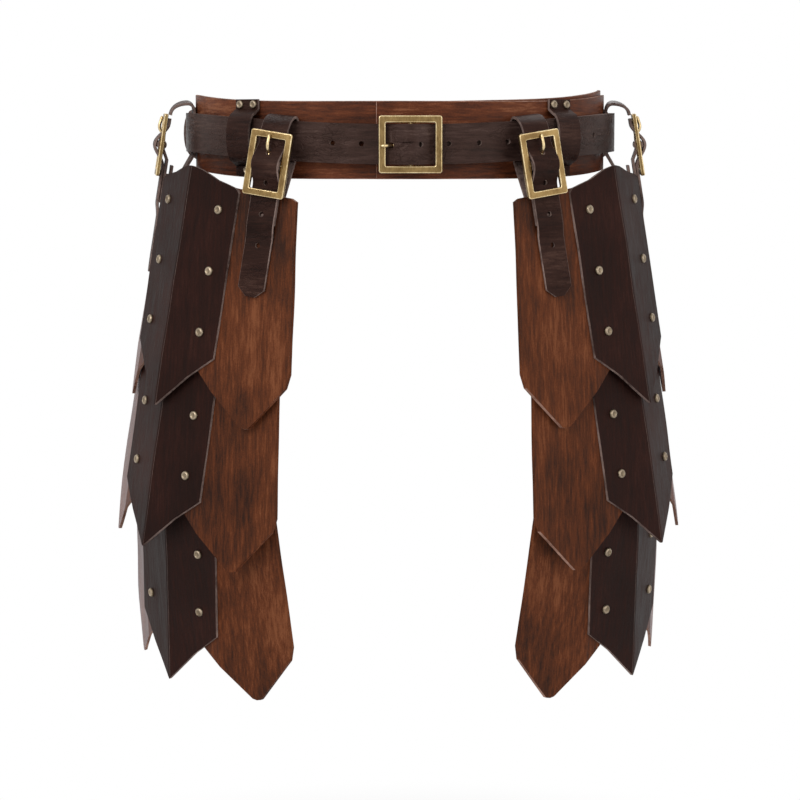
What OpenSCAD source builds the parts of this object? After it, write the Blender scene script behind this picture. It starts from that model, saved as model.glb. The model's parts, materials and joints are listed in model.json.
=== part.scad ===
// Thigh armour: a leather waist band, a belt strapped over it, and two tassets that hang from buckled straps.
// Each tasset has three overlapping tiers. A tier is a folded ridge plate riveted over a front and a back wing.
// Millimetres, +Z up, the wearer faces -Y. The origin is the middle of the waist opening, at the band's mid height.

/* [Waist band] */
// Half width of the waist opening, side to side
waist_a = 198; // [180:1:230]
// Half depth of the waist opening, front to back
waist_b = 138; // [120:1:160]
// Height of the waist band
band_h = 74; // [66:1:84]
// Thickness of the waist band's leather
band_t = 3.2; // [2.4:0.1:3.6]
// How far the band's edges rise at the hips
band_rise = 8; // [0:1:12]
// Where the band's outer end stops, left of the front centre
band_end = 24; // [15:1:40]
// How far the band's inner end runs on under the outer layer
band_overlap = 290; // [200:5:300]

// How much higher the band's inner end lies than the outer layer over it
inner_lift = 5; // [0:1:6]

/* [Belt] */
// Width of the belt
belt_w = 38; // [32:1:42]
// Thickness of the belt
belt_t = 3; // [2.4:0.1:3.4]
// Height of the belt's middle at the front
belt_z = -4; // [-8:1:2]
// How far the belt rises at the hips
belt_rise = 12; // [0:1:14]
// Distance between the belt's holes
hole_pitch = 28.5; // [24:0.5:32]
// Diameter of a strap hole
hole_d = 5; // [4.6:0.1:5.6]
// Length of the belt's tail past the buckle
belt_tail = 285; // [240:5:300]

/* [Belt buckle] */
// Outer length of the belt buckle, along the belt
waist_buckle_l = 60; // [56:1:66]
// Outer height of the belt buckle
waist_buckle_h = 54; // [50:1:58]
// Where the belt buckle sits, right of the front centre
waist_buckle_x = 4; // [0:1:8]

/* [Buckles] */
// Width of a bar of a buckle, seen from the front
bar_w = 6.5; // [5:0.5:8]
// Thickness of a buckle's bars
bar_t = 4; // [3:0.5:5]
// Radius of a buckle's outer corners
corner_r = 2.4; // [2:0.2:4]
// Outer width of a hanging strap's buckle
buckle_w = 43; // [40:1:47]
// Outer length of a hanging strap's buckle
buckle_l = 62; // [56:1:66]
// Thickness of a prong
prong_t = 3.2; // [2.6:0.1:3.6]

/* [Hanging straps] */
// Width of the hanging straps
strap_w = 28; // [24:1:30]
// Thickness of the hanging straps
strap_t = 2.8; // [2.2:0.1:3]
// Length of a strap's tail below its buckle
tail_l = 96; // [70:1:110]
// Width of a belt loop tab
tab_w = 27; // [24:1:30]
// Thickness of a belt loop tab
tab_t = 2.6; // [2:0.1:3]
// Distance along the waist from a strap's middle to its belt loop tab's middle
tab_gap = 50; // [46:1:54]
// How far a belt loop tab bulges out from the belt
tab_bulge = 5; // [2:1:7]
// How far the front loops turn over the belt behind their buckles
loop_shift = 9; // [0:1:12]

/* [Tassets] */
// Thickness of the plates' leather
plate_t = 3; // [2.4:0.1:3.4]
// Direction a tasset's ridge faces, from the front toward the side
ridge_azimuth = 51; // [46:1:54]
// How far a tasset leans in its own plane
tasset_lean = 6; // [4:0.5:8]
// Width of each face of a ridge plate
face_w = 63; // [56:1:66]
// Width of the fold along a ridge
fold_w = 2.4; // [1.6:0.2:4]
// Angle that a ridge face turns back from the ridge's direction
ridge_fold = 14; // [11:1:17]
// Angle that a front wing turns back from the ridge's direction
wing_fold = 26; // [22:1:30]
// Angle that the upper back wing turns back, pulled in by its strap
back_fold_1 = 34; // [32:1:35]
// Angle that the middle back wing turns back
back_fold_2 = 31; // [30:1:32]
// Angle that the lower back wing turns back
back_fold_3 = 28; // [27:1:29]
// Height of a ridge plate's side edges
edge_h = 161; // [153:1:169]
// Height of the ridge plate's peak above its top corners
peak_h = 17; // [10:1:22]
// Depth of the ridge plate's bottom point below its bottom corners
point_h = 57; // [46:1:62]
// Width of a wing that shows beside the ridge plate, at its top
wing_top_w = 57.5; // [50:0.5:64]
// Width of a wing that shows beside the ridge plate, at its bottom corner
wing_low_w = 79; // [72:1:88]
// How much lower a wing's bottom corner is than the ridge plate's
wing_drop = 15; // [10:1:22]
// Depth of a wing's bottom point
wing_point_h = 46; // [36:1:50]
// Distance from the ridge plate's edge to the wing's point
wing_point_w = 40; // [34:1:44]
// Diameter of a rivet's cap
rivet_d = 9; // [8:0.5:10]
// Distance between the rivets of a plate
rivet_pitch = 59.5; // [56:0.5:62]
// Distance from the ridge plate's top corner down to its first rivet
rivet_top = 20; // [18:1:24]
// Distance from the ridge plate's edge in to its rivets
rivet_in = 21; // [18:1:22]
// Width of an inner link strap
link_w = 16; // [12:1:18]

/* [Tiers] */
// Height of the upper tier's corners below the waist's middle
tasset_z = -41; // [-48:1:-38]
// Distance of the upper ridge from the waist's middle, sideways
tasset_x = 208; // [202:1:216]
// Distance of the upper ridge in front of the waist's middle
tasset_y = 97.5; // [90:0.5:104]
// Drop from one tier to the next
tier_drop = 141; // [139:1:143]
// Step inward from the upper tier to the middle one
step_2 = 8.4; // [8.2:0.1:12]
// Step inward from the middle tier to the lower one
step_3 = 10.8; // [10.4:0.1:14]
// Shift toward the front from the upper tier to the middle one
shift_2 = -1.5; // [-2:0.5:2]
// Shift toward the front from the middle tier to the lower one
shift_3 = 3; // [0:0.5:3.5]
// Outward flare of the upper tier
flare_1 = 7; // [6:1:10]
// Outward flare of the middle tier
flare_2 = 6; // [4:1:7]
// Outward flare of the lower tier
flare_3 = -5.5; // [-9:0.5:-3]

/* [Hidden] */
SIDES = ["left", "right"];

band_brown = "#6b3518";
dark_leather = "#2f211d";
brass = "#8a7448";

fit = 0.3;             // gap between pieces that lie on each other
shank_d = 3.2;         // rivet shank
shank_gap = 0.2;       // room round a shank in its hole
layer = band_t + fit;  // one band layer and its gap
belt_gap = strap_t + 1.7;                // room for a strap's back run between band and belt
belt_in = 2 * band_t + fit + belt_gap;   // inner face of the belt's under layer
belt_out = belt_in + belt_t + fit;       // inner face of the belt's outer layer
belt_skin = belt_out + belt_t;           // outer face of the belt's outer layer
loop_u = belt_skin + fit + strap_t / 2;  // middle of a loop's front run, from the base ellipse

// Points along the waist: s is the distance along the base ellipse from the front centre, toward +X
function speed(t) = sqrt(pow(waist_a * cos(t), 2) + pow(waist_b * sin(t), 2));
function walk(s, n) = [for (i = 0, t = 0; i <= n; i = i + 1, t = t + s / n * 180 / PI / speed(t)) t];
function theta_at(s) = s == 0 ? 0 : let (n = ceil(abs(s) / 3)) walk(s, n)[n];
function facing(t) = atan2(sin(t) / waist_a, cos(t) / waist_b);
function rim(t, u) = [waist_a * sin(t) + u * sin(facing(t)), -waist_b * cos(t) - u * cos(facing(t))];
function rise(t, h, p) = h * pow(abs(sin(t)), p);

// A strip swept round the waist: each ring is [angle, outward offset of its inner face, middle height, height]
module waist_strip(rings, t) {
  pts = [for (r = rings) for (c = [[0, -1], [1, -1], [1, 1], [0, 1]])
    let (q = rim(r[0], r[1] + c[0] * t)) [q[0], q[1], r[2] + c[1] * r[3] / 2]];
  n = len(rings);
  faces = concat([[3, 2, 1, 0]], [[4 * n - 4, 4 * n - 3, 4 * n - 2, 4 * n - 1]],
    [for (i = [0:n - 2]) for (k = [0:3])
      let (a = 4 * i + k, b = 4 * i + (k + 1) % 4) each [[a, b, b + 4], [a, b + 4, a + 4]]]);
  polyhedron(pts, faces);
}

// A flat ribbon's outline from its middle line, t thick
function unit(v) = v / norm(v);
function side_of(p, i) = let (a = unit(p[min(i + 1, len(p) - 1)] - p[max(i - 1, 0)])) [-a[1], a[0]];
function ribbon(p, t) = concat([for (i = [0:len(p) - 1]) p[i] + side_of(p, i) * t / 2],
  [for (i = [len(p) - 1:-1:0]) p[i] - side_of(p, i) * t / 2]);
function arc(c, r, a, b, n) = [for (i = [0:n]) c + r * [cos(a + (b - a) * i / n), sin(a + (b - a) * i / n)]];

// Lays a profile drawn as [outward, up] across a strap, w wide
module across(w) { rotate([90, 0, -90]) linear_extrude(w, center = true) children(); }

// Places a child at the waist: its -Y faces outward, at distance s and height z
module at_waist(s, z = 0) {
  t = theta_at(s);
  q = rim(t, 0);
  translate([q[0], q[1], z]) rotate([0, 0, facing(t)]) children();
}
module sided(side) { mirror([side == "right" ? 1 : 0, 0, 0]) children(); }

// Waist band: one strip whose right end lies over its left end
function band_off(s) = s < -band_end - 80 ? layer : s > -band_end - 6 ? 0
  : layer * (1 - cos((-band_end - 6 - s) / 74 * 180)) / 2;
girth = 2 * waist_len();
function waist_len() = half_sum(0, 0);
function half_sum(t, acc) = t >= 180 ? acc : half_sum(t + 3, acc + speed(t + 1.5) * 3 * PI / 180);
module waist_band() color(band_brown) {
  steps = 96;
  first = band_overlap - band_end;
  inner_flat = 40;                             // the inner end starts to rise this far right of the front
  length = girth + band_overlap;
  starts = [for (i = 0, s = first, t = theta_at(first); i <= steps;
    i = i + 1, s = s - length / steps, t = t - length / steps * 180 / PI / speed(t)) [s, t]];
  waist_strip([for (q = starts) [q[1], q[0] > -girth + band_end * 3 ? band_off(q[0]) : layer,
    rise(q[1], band_rise, 6) + inner_lift * max(0, (q[0] - inner_flat) / (first - inner_flat)), band_h]], band_t);
}

// Belt: starts under its buckle, goes once round, through the buckle and on as the tail
buckle_s = waist_buckle_x;
belt_bar_u = belt_skin + fit + bar_t / 2 + 1.6;   // middle of the belt buckle's bars
bow = belt_bar_u + bar_t / 2 + 0.5 - belt_out;    // the belt bows out over the centre bar
under_bow = belt_bar_u - belt_t / 2 - belt_in;    // its end rises to the bar
function swell(d, w) = abs(d) >= w ? 0 : (1 + cos(d / w * 180)) / 2;
module waist_belt() color(dark_leather) {
  under_start = bar_t / 2 + 0.4;
  under = 110;
  over = 104;
  under_l = girth - 110 - buckle_s;
  over_l = 110 + buckle_s + belt_tail;
  lower = [for (i = 0, s = buckle_s + under_start, t = theta_at(buckle_s + under_start); i <= under;
    i = i + 1, s = s + under_l / under, t = t + under_l / under * 180 / PI / speed(t)) [s, t]];
  far = lower[under];
  upper = [for (i = 0, s = far[0] - girth, t = far[1]; i <= over;
    i = i + 1, s = s + over_l / over, t = t + over_l / over * 180 / PI / speed(t)) [s, t]];
  difference() {
    waist_strip(concat(
      [for (i = [0:under - 1]) let (q = lower[i], w = max(0, (q[0] - girth * 0.5) / (girth * 0.5 - 130)))
        [q[1], belt_in + (belt_out - belt_in) * min(1, w) + under_bow * swell(q[0] - buckle_s, 20),
          belt_mid(q[1]), belt_w]],
      [for (q = upper) [q[1], belt_out + bow * swell(q[0] - buckle_s, waist_buckle_l / 2 - bar_w), belt_mid(q[1]), belt_w]]), belt_t);
    for (i = [-2, -1, 1, 2, 3, 4, 7, 8]) belt_hole(prong_hole_s + i * hole_pitch);
    at_waist(buckle_s, belt_z) translate([-6.5, -belt_out - 9, 0]) cube([22, 24, hole_d], center = true);
  }
}
function belt_mid(t) = belt_z + rise(t, belt_rise, 2);
prong_hole_s = buckle_s - 10;
module belt_hole(s) {
  at_waist(s, belt_mid(theta_at(s))) translate([0, -belt_out + fit / 2, 0]) rotate([90, 0, 0])
    cylinder(h = belt_t + 4, d = hole_d, $fn = 24);
}

// Buckles: a frame of rounded bars with a centre bar, its middle at the origin, facing -Y, length along Z
module rounded(w, l, r) {
  square([w - 2 * r, l], center = true);
  square([w, l - 2 * r], center = true);
  for (x = [-1, 1], y = [-1, 1]) translate([x * (w / 2 - r), y * (l / 2 - r)]) circle(r, $fn = 24);
}
module buckle_frame(w, l) {
  color(brass) {
    rotate([90, 0, 0]) linear_extrude(bar_t, center = true) difference() {
      rounded(w, l, corner_r);
      rounded(w - 2 * bar_w, l - 2 * bar_w, corner_r / 2);
    }
    rotate([0, 90, 0]) cylinder(h = w - 2 * bar_w + 0.2, d = bar_t, center = true, $fn = 24);
  }
}
prong_ring = bar_t / 2 + fit;
module buckle_prong(l) {
  reach = l / 2 - 1;
  color(brass) difference() {
    union() {
      rotate([0, 90, 0]) cylinder(h = prong_t, r = prong_ring + 1.8, center = true, $fn = 24);
      across(prong_t) polygon(ribbon([[0, 1], [prong_ring + 2, 5], [prong_ring + prong_rise, 13],
        [prong_ring + prong_rise, 20], [bar_t / 2 + fit + prong_t / 2, reach - 5],
        [bar_t / 2 + fit + prong_t / 2, reach]], prong_t));
    }
    rotate([0, 90, 0]) cylinder(h = prong_t + 1, r = prong_ring, center = true, $fn = 24);
  }
}
prong_rise = 6.5;

module belt_buckle_frame() at_belt_buckle() buckle_frame(waist_buckle_h, waist_buckle_l);
module belt_buckle_prong() at_belt_buckle() buckle_prong(waist_buckle_l);
module at_belt_buckle() {
  at_waist(buckle_s, belt_z) translate([0, -belt_bar_u, 0]) rotate([0, -90, 0]) children();
}

// Frames of a left tasset: a tier's local X runs toward the front, -Y faces out and Z runs up its ridge
flares = [flare_1, flare_2, flare_3];
steps = [[0, 0, 0], [shift_2, step_2, -tier_drop], [shift_3, step_3, -tier_drop]];
module tier(k) {
  if (k == 0)
    translate([-tasset_x, -tasset_y, tasset_z]) rotate([0, 0, -ridge_azimuth]) rotate([0, tasset_lean, 0])
      rotate([-flare_1, 0, 0]) children();
  else
    tier(k - 1) translate(steps[k]) rotate([flares[k - 1] - flares[k], 0, 0]) children();
}
function rot_x(p, a) = [p[0], p[1] * cos(a) - p[2] * sin(a), p[1] * sin(a) + p[2] * cos(a)];
function rot_y(p, a) = [p[0] * cos(a) + p[2] * sin(a), p[1], -p[0] * sin(a) + p[2] * cos(a)];
function rot_z(p, a) = [p[0] * cos(a) - p[1] * sin(a), p[0] * sin(a) + p[1] * cos(a), p[2]];
function tier_point(p) = [-tasset_x, -tasset_y, tasset_z]
  + rot_z(rot_y(rot_x(p, -flare_1), tasset_lean), -ridge_azimuth);

// Faces of a tier in its own frame: e is 1 on the front side and -1 on the back side
module face(e) { rotate([0, 0, e * ridge_fold]) children(); }
wing_corner = face_w * [cos(ridge_fold), sin(ridge_fold)];
wing_back = plate_t;   // the wings lie behind the ridge plate
function fold_of(k, e) = e > 0 ? wing_fold : [back_fold_1, back_fold_2, back_fold_3][k];
module wing_frame(e) {
  translate([e * wing_corner[0], wing_corner[1] + wing_back / cos(ridge_fold), 0])
    rotate([0, 0, e * fold_of(0, e)]) children();
}

// Buckled straps: places in the wing's frame, out from the wing's face and up from the tier's corners
strap_x = 27;                                  // strap's middle from the ridge plate's edge
chape_mid = strap_t / 2 + 0.05;
tail_mid = strap_t * 1.5 + 0.05 + fit;
bar_gap = 0.8;                                 // room between the strap and the bars it passes under
bar_mid = tail_mid + strap_t / 2 + bar_gap + bar_t / 2;
buckle_z = 31;                                 // buckle's middle above the ridge plate's corners
bar_top = buckle_z + buckle_l / 2;
tail_start = bar_top - 4.2;
loop_low = bar_top - 0.5;                      // a loop ends here, behind the top bar
loop_turn = 9;                                 // straight run of a loop above its end
module strap_frame(e) { tier(0) wing_frame(e) translate([e * strap_x, 0, 0]) children(); }
function strap_point(e, out, z) = let (a = e * fold_of(0, e), q = wing_corner + [0, wing_back / cos(ridge_fold)])
  tier_point([e * q[0] + e * strap_x * cos(a) + out * sin(a), q[1] + e * strap_x * sin(a) - out * cos(a), z]);

// Foot of a strap on the waist: the angle whose outward line passes through a point
function out_of(p, t) = (p[0] - waist_a * sin(t)) * sin(facing(t)) - (p[1] + waist_b * cos(t)) * cos(facing(t));
function foot(p, t, n) = n == 0 ? t
  : foot(p, let (u = out_of(p, t)) atan2(p[0] / (waist_a + u), -p[1] / (waist_b + u)), n - 1);
module at_angle(t, z) { translate([rim(t, 0)[0], rim(t, 0)[1], z]) rotate([0, 0, facing(t)]) children(); }

// Loops: the strap rises behind the belt, turns over its top and comes down to the buckle
back_mid = layer + band_t + 0.45 + strap_t / 2;
module loop(e) {
  p = strap_point(e, tail_mid, loop_low + loop_turn);
  near = foot(p, atan2(p[0] / waist_a, -p[1] / waist_b), 8);
  t = e > 0 ? near - loop_shift * 180 / PI / speed(near) : near;
  z = belt_mid(t);
  top = max(belt_w / 2 + 2.4 + strap_t / 2, p[2] - z + 3);
  over = belt_skin + 3;
  color(dark_leather) {
    at_angle(t, z) rotate([0, tasset_lean, 0]) across(strap_w) polygon(ribbon(concat(
      [[back_mid, -belt_w / 2 - 1]], [[back_mid, top - 7]], arc([back_mid + 6, top - 6], 6, 170, 95, 5),
      [[over - 0.1, top]], [[over, top]]), strap_t));
    hull() {
      at_angle(t, z) rotate([0, tasset_lean, 0]) translate([0, 0.5 - over, top])
        cube([strap_w - 0.04, 0.2, strap_t - 0.04], center = true);
      strap_frame(e) translate([0, -tail_mid, loop_low + 0.1]) cube([strap_w - 0.04, strap_t, 0.2], center = true);
    }
  }
}

// The strap's lower run: under the top bar, over the centre bar, under the bottom bar and down as the tail
over_bar = bar_mid + bar_t / 2 + strap_t + fit + strap_t / 2 + fit;
bow_half = buckle_l / 2 - bar_w - 3;           // half the length of the bow over the centre bar
module tail(e) {
  z = buckle_z;
  far = z - buckle_l / 2 - tail_l;
  color(dark_leather) strap_frame(e) difference() {
    union() {
      intersection() {
        across(strap_w) polygon(ribbon(concat([[tail_mid, tail_start]],
          [for (i = [10:-1:-10]) [tail_mid + (over_bar - tail_mid) * swell(i, 10), z + i / 10 * bow_half]],
          [[tail_mid, far]]), strap_t));
        rotate([90, 0, 0]) linear_extrude(60, center = true) polygon([[-strap_w / 2, tail_start],
          [strap_w / 2, tail_start], [strap_w / 2, far + 8], [strap_w / 2 - 9, far], [9 - strap_w / 2, far],
          [-strap_w / 2, far + 8]]);
      }
      // the back run's lower end, riveted behind the wing
      across(strap_w) polygon(ribbon([[-plate_t - strap_t / 2 - 0.05, 12], [-plate_t - strap_t / 2 - 0.05, -22]],
        strap_t));
    }
    translate([0, -over_bar, z + 8]) cube([prong_t + 1.2, 20, 19], center = true);
    for (i = [1, 2, 3]) translate([0, 0, z + 12 - i * hole_pitch * 1.05]) rotate([90, 0, 0])
      cylinder(h = 60, d = hole_d, center = true, $fn = 24);
    chape_rivet_spots() rotate([90, 0, 0]) translate([0, 0, -plate_t])
      cylinder(h = 20, d = shank_d + 2 * shank_gap, center = true, $fn = 20);
  }
}

// The chape holds the buckle's centre bar and is riveted to the wing under the tail
chape_low = -26;
module chape_rivet_spots() { translate([0, 0, -6]) children(); translate([0, 0, -18]) children(); }
module chape(e) {
  eye = bar_t / 2 + 0.25;
  color(dark_leather) strap_frame(e) {
    difference() {
      union() {
        across(strap_w - 1) polygon(ribbon([[chape_mid, chape_low], [chape_mid, buckle_z - 14],
          [bar_mid - 2, buckle_z - 4]], strap_t));
        translate([0, -bar_mid, buckle_z]) rotate([0, 90, 0])
          cylinder(h = strap_w - 1, r = eye + strap_t - 0.2, center = true, $fn = 32);
      }
      translate([0, -bar_mid, buckle_z]) rotate([0, 90, 0]) cylinder(h = 60, r = eye, center = true, $fn = 32);
      translate([0, -bar_mid, buckle_z + 3]) cube([prong_t + 1, 16, 17], center = true);
      chape_rivet_spots() rotate([90, 0, 0]) cylinder(h = 20, d = shank_d + 2 * shank_gap, center = true, $fn = 20);
    }
    chape_rivet_spots() translate([0, -strap_t - 0.05, 0]) rivet(0.25, strap_t + plate_t + strap_t + 0.15, 7, 0.25);
  }
}
module strap_buckle(e) strap_frame(e) translate([0, -bar_mid, buckle_z]) buckle_frame(buckle_w, buckle_l);
module strap_prong(e) strap_frame(e) translate([0, -bar_mid, buckle_z]) buckle_prong(buckle_l);

// A rivet along +Y: its cap stands out at y = 0, its shank goes through the grip and a burr closes it
module rivet(cap_h, grip, cap_d = rivet_d, burr_h = 1.2) {
  rotate([-90, 0, 0]) {
    rotate_extrude($fn = 24) polygon([[0, -cap_h * 0.72], [cap_d * 0.24, -cap_h * 0.76], [cap_d * 0.3, -cap_h],
      [cap_d * 0.4, -cap_h * 0.88], [cap_d / 2, -cap_h * 0.4], [cap_d / 2, 0], [0, 0]]);
    cylinder(h = grip + burr_h, d = shank_d, $fn = 16);
    translate([0, 0, grip]) cylinder(h = burr_h, d = 6.5, $fn = 20);
  }
}

// Belt loop tabs: riveted to the band above and below the belt
tab_base = layer + band_t + tab_t / 2 + 0.9;
tab_hem = 13;                                  // length of a tab's flat, riveted ends
tab_rivet_z = belt_w / 2 + 12.6;
function tab_line() = let (out = belt_skin + fit + 0.3 + tab_t / 2 + tab_bulge, hi = belt_w / 2 + 4.6) concat(
  [[tab_base, hi + tab_hem], [tab_base, hi + 3.4]],
  [for (i = [5:-1:-5]) [tab_base + (out - tab_base) * pow(cos(i * 16), 0.6), hi * sin(i * 16)]],
  [[tab_base, -hi - 3.4], [tab_base, -hi - tab_hem]]);
module at_tab(e) {
  p = strap_point(e, tail_mid, loop_low + loop_turn);
  t = foot(p, atan2(p[0] / waist_a, -p[1] / waist_b), 8);
  t2 = t - tab_gap * 180 / PI / speed(t);
  at_angle(t2, belt_mid(t2)) children();
}
module tab_rivet_spots(e) {
  at_tab(e) {
    for (x = [-1, 1]) translate([x * tab_w * 0.3, -tab_base, tab_rivet_z]) children();
    translate([0, -tab_base, -tab_rivet_z]) children();
  }
}
module tabs(e) color(dark_leather) for (side = SIDES) sided(side) difference() {
  at_tab(e) across(tab_w) polygon(ribbon(tab_line(), tab_t));
  tab_rivet_spots(e) rotate([90, 0, 0]) cylinder(h = 12, d = shank_d + 2 * shank_gap, center = true, $fn = 20);
}
module front_tabs() tabs(1);
module side_tabs() tabs(-1);
module tab_rivets() color(brass) for (side = SIDES, e = [1, -1]) sided(side)
  tab_rivet_spots(e) translate([0, -tab_t / 2 - 0.1, 0]) rivet(2, tab_t + 0.4, rivet_d - 1, 0.4);

// Plates: a folded profile drawn down the ridge, cut to its outline
module outline(points) { rotate([90, 0, 0]) linear_extrude(160, center = true) polygon(points); }
module rivet_spots() {
  for (e = [-1, 1]) face(e) for (i = [0:2])
    translate([e * (face_w - rivet_in), 0, -rivet_top - i * rivet_pitch]) children();
}
// Half of a ridge plate's top edge, from its left corner to its peak, in parts of its width and height
peak_line = [[1.1, -0.5], [1, -0.1], [0.97, 0.08], [0.92, 0.18], [0.75, 0.32], [0.55, 0.46], [0.4, 0.66], [0.22, 0.88],
  [0.06, 0.98], [0, 1]];
module ridge_plate(k) {
  corner_x = wing_corner[0];
  color(dark_leather) tier(k) difference() {
    intersection() {
      translate([0, 0, -edge_h - point_h - 2]) linear_extrude(edge_h + peak_h + point_h + 4) difference() {
        union() {
          polygon([[0, 0], wing_corner, wing_corner + plate_t * [-sin(ridge_fold), cos(ridge_fold)],
            [0, plate_t / cos(ridge_fold)]]);
          polygon([[0, 0], [-wing_corner[0], wing_corner[1]],
            [-wing_corner[0], wing_corner[1]] + plate_t * [sin(ridge_fold), cos(ridge_fold)],
            [0, plate_t / cos(ridge_fold)]]);
        }
        translate([-fold_w, -1]) square([2 * fold_w, 1 + fold_w / 2 * tan(ridge_fold)]);
      }
      outline([for (e = [-1, 1], q = e < 0 ? peak_line : [for (i = [len(peak_line) - 2:-1:0]) peak_line[i]])
          [e * q[0] * corner_x, q[1] * peak_h], [corner_x * 1.1, -edge_h], [corner_x, -edge_h],
        [corner_x * 0.55, -edge_h - point_h * 0.4], [0, -edge_h - point_h],
        [-corner_x * 0.55, -edge_h - point_h * 0.5], [-corner_x, -edge_h], [-corner_x * 1.1, -edge_h]]);
    }
    rivet_spots() rotate([90, 0, 0])
      cylinder(h = 20, d = shank_d + 2 * shank_gap, center = true, $fn = 20);
  }
}
flange = 32;
module wing(k, e) {
  low = -edge_h - wing_drop - wing_point_h;
  fold = fold_of(k, e);
  bend = wing_corner + [0, wing_back / cos(ridge_fold)];
  mid_fold = (ridge_fold + fold) / 2;
  inner_bend = bend + plate_t / cos(mid_fold - ridge_fold) * [-sin(mid_fold), cos(mid_fold)];
  flange_end = -flange * [cos(ridge_fold), sin(ridge_fold)];
  wing_end = (wing_low_w + 4) * [cos(fold), sin(fold)];
  wide = bend[0] + wing_low_w * cos(fold);
  narrow = bend[0] + wing_top_w * cos(fold);
  tip = bend[0] + wing_point_w * cos(fold);
  inner = bend[0] - flange * cos(ridge_fold);
  color(band_brown) tier(k) mirror([e < 0 ? 1 : 0, 0, 0]) difference() {
    intersection() {
      translate([0, 0, low - 2]) linear_extrude(edge_h + 120) polygon([
        bend + flange_end * 1.1, bend, bend + wing_end,
        bend + wing_end + plate_t * [-sin(fold), cos(fold)], inner_bend,
        bend + flange_end * 1.1 + plate_t * [-sin(ridge_fold), cos(ridge_fold)]]);
      outline([[inner, 4], [bend[0], 3], [narrow - 5, 2.5], [narrow, 0], [narrow + 0.6, -6],
        [wide, -edge_h - wing_drop + 14], [wide - 2, -edge_h - wing_drop], [tip + 4, low + 1], [tip, low],
        [tip - 4, low + 1], [inner + 4, -edge_h - 8], [inner, -edge_h - 4]]);
    }
    face(1) for (i = [0:2]) translate([face_w - rivet_in, 0, -rivet_top - i * rivet_pitch]) rotate([90, 0, 0])
      cylinder(h = 30, d = shank_d + 2 * shank_gap, center = true, $fn = 20);
    if (k == 0) translate([bend[0], bend[1], 0]) rotate([0, 0, fold]) translate([strap_x, 0, 0])
      chape_rivet_spots() rotate([90, 0, 0]) cylinder(h = 20, d = shank_d + 2 * shank_gap, center = true, $fn = 20);
  }
}

// Inner link straps: riveted behind one tier and behind the next, they bend between the two
link_t = 2.5;
low_cap = 1.2;                                 // caps that the tier above hides are flatter
cap_h = 2.4;
inner_face = wing_back + plate_t + 0.1;
link_mid = inner_face + 0.05 + link_t / 2;     // middle of a link strap behind a face
hinge_z = -rivet_top - rivet_pitch - 27;       // where a link strap bends
link_gap = 0.45;                               // half the gap between its two parts
link_turn = 9;                                 // a link runs flat behind its plate below this height
module rivets(k) color(brass) tier(k) for (e = [-1, 1]) face(e) for (i = [0:2]) {
  under = k > 0 && i == 0 || k < 2 && i == 1 ? link_t + 0.1 : 0;
  translate([e * (face_w - rivet_in), -0.05, -rivet_top - i * rivet_pitch])
    rivet(k > 0 && i == 0 ? low_cap : cap_h, inner_face + 0.1 + under, rivet_d, 0.6);
}
module link_bore(i) {
  translate([0, 0, -rivet_top - i * rivet_pitch]) rotate([90, 0, 0])
    cylinder(h = 30, d = shank_d + 2 * shank_gap, center = true, $fn = 20);
}
// the half that stays on the tier above
module hangers(k) color(dark_leather) tier(k) for (e = [-1, 1]) face(e)
  translate([e * (face_w - rivet_in), 0, 0]) difference() {
    translate([0, link_mid, (hinge_z + link_gap - rivet_top - rivet_pitch + 9) / 2])
      cube([link_w, link_t, 9 - rivet_top - rivet_pitch - hinge_z - link_gap], center = true);
    link_bore(1);
  }
// the half that moves with the tier below
module links(k) {
  color(dark_leather) for (e = [-1, 1]) {
    tier(k) face(e) translate([e * (face_w - rivet_in), 0, 0]) difference() {
      translate([0, link_mid, (link_turn - rivet_top - 9) / 2])
        cube([link_w, link_t, link_turn + rivet_top + 9], center = true);
      link_bore(0);
    }
    hull() {
      tier(k) face(e) translate([e * (face_w - rivet_in), link_mid, link_turn - 0.2])
        cube([link_w - 0.04, link_t - 0.04, 0.2], center = true);
      tier(k - 1) face(e) translate([e * (face_w - rivet_in), link_mid, hinge_z - link_gap - 0.1])
        cube([link_w - 0.04, link_t - 0.04, 0.2], center = true);
    }
  }
}

waist_band();
waist_belt();
belt_buckle_frame();
belt_buckle_prong();
front_tabs();
side_tabs();
tab_rivets();
sided("left") loop(1);  // left_front_loop
sided("left") strap_buckle(1);  // left_front_buckle
sided("left") strap_prong(1);  // left_front_prong
sided("left") tail(1);  // left_front_tail
sided("left") chape(1);  // left_front_chape
sided("left") loop(-1);  // left_side_loop
sided("left") strap_buckle(-1);  // left_side_buckle
sided("left") strap_prong(-1);  // left_side_prong
sided("left") tail(-1);  // left_side_tail
sided("left") chape(-1);  // left_side_chape
sided("left") ridge_plate(0);  // left_upper_ridge
sided("left") wing(0, 1);  // left_upper_front_wing
sided("left") wing(0, -1);  // left_upper_back_wing
sided("left") rivets(0);  // left_upper_rivets
sided("left") ridge_plate(1);  // left_middle_ridge
sided("left") wing(1, 1);  // left_middle_front_wing
sided("left") wing(1, -1);  // left_middle_back_wing
sided("left") rivets(1);  // left_middle_rivets
sided("left") ridge_plate(2);  // left_lower_ridge
sided("left") wing(2, 1);  // left_lower_front_wing
sided("left") wing(2, -1);  // left_lower_back_wing
sided("left") rivets(2);  // left_lower_rivets
sided("left") hangers(0);  // left_upper_hangers
sided("left") links(1);  // left_middle_links
sided("left") hangers(1);  // left_middle_hangers
sided("left") links(2);  // left_lower_links
sided("right") loop(1);  // right_front_loop
sided("right") strap_buckle(1);  // right_front_buckle
sided("right") strap_prong(1);  // right_front_prong
sided("right") tail(1);  // right_front_tail
sided("right") chape(1);  // right_front_chape
sided("right") loop(-1);  // right_side_loop
sided("right") strap_buckle(-1);  // right_side_buckle
sided("right") strap_prong(-1);  // right_side_prong
sided("right") tail(-1);  // right_side_tail
sided("right") chape(-1);  // right_side_chape
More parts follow.
